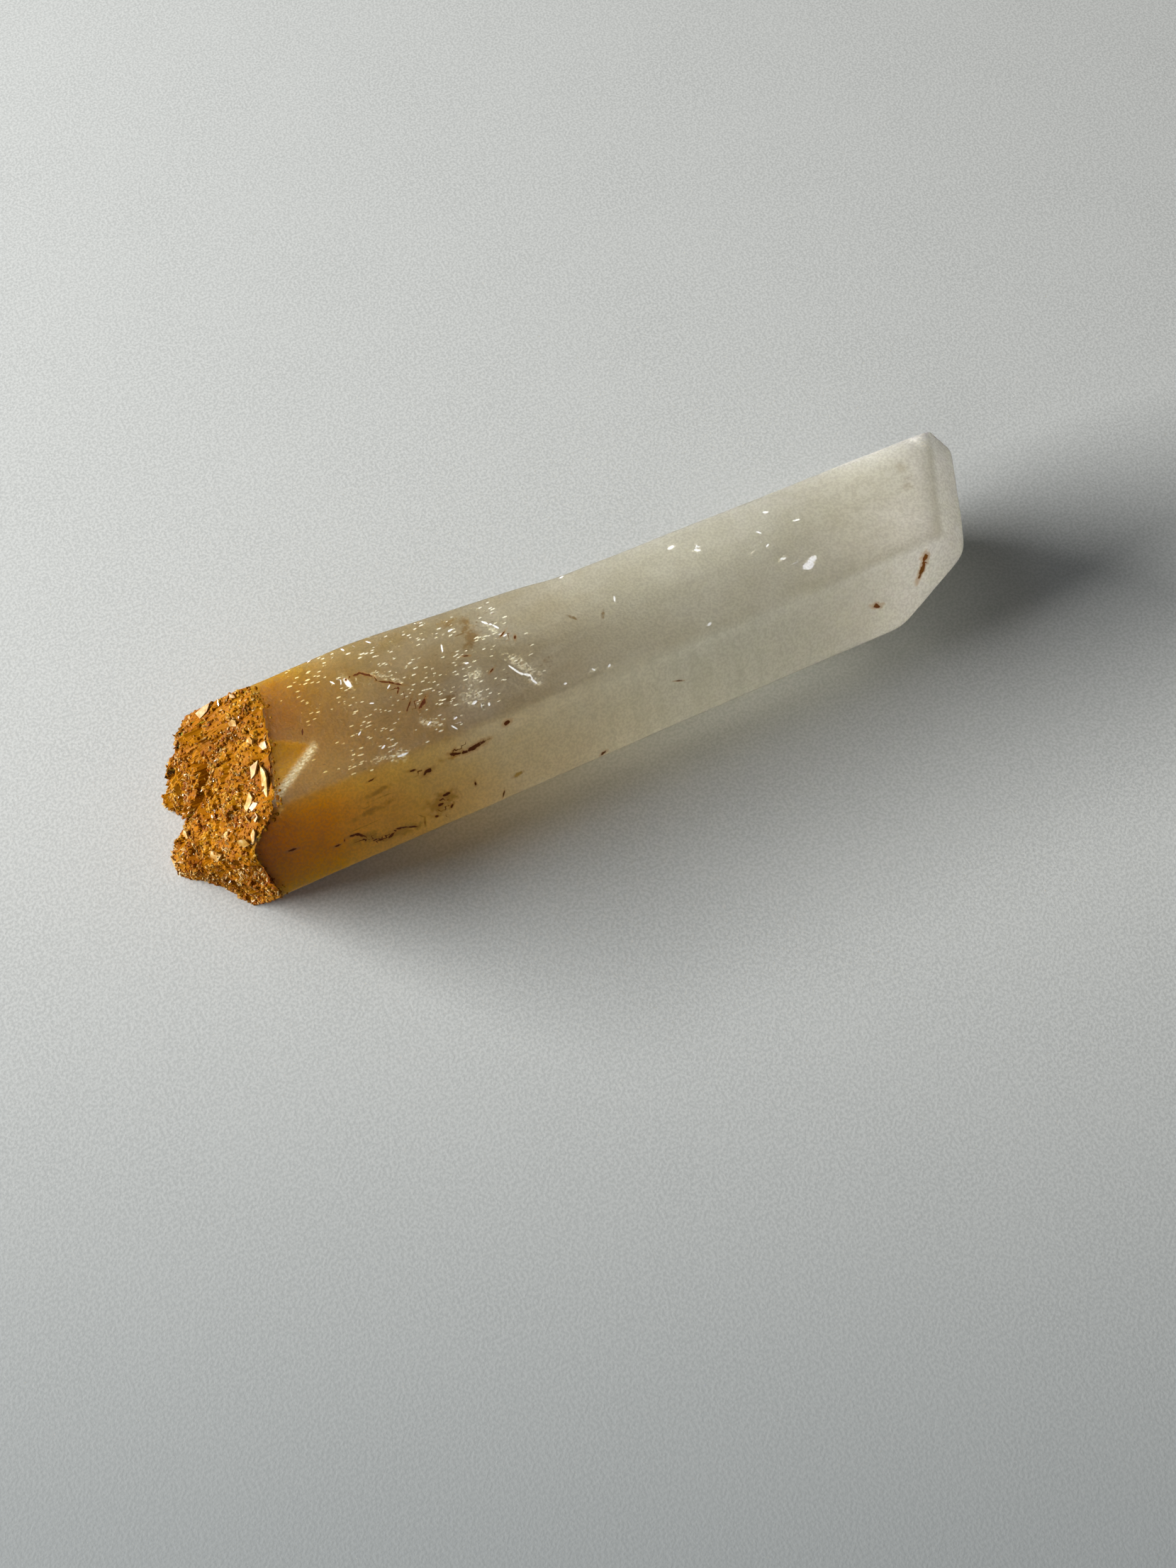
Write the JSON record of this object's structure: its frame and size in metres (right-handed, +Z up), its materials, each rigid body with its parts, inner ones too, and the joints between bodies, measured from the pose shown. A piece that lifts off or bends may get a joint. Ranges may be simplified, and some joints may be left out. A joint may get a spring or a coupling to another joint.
{
  "type": "quartz crystal point with halloysite inclusion",
  "caption": "Natural milky quartz point with a chisel-like undercut tip and a crumbly broken base stained orange by halloysite, lying on a prism face.",
  "frame": {"origin": "middle of the underside of the bounding box, on the surface that the crystal lies on", "axes": "+X along the crystal from the broken base to the tip, +Z up, +Y towards the far side as the picture sees it"},
  "size_m": [0.0688, 0.0168, 0.0106],
  "materials": {
    "milky_quartz": "satin"
  },
  "bodies": {
    "root": {"quartz_point": "milky_quartz"}
  },
  "joints": []
}
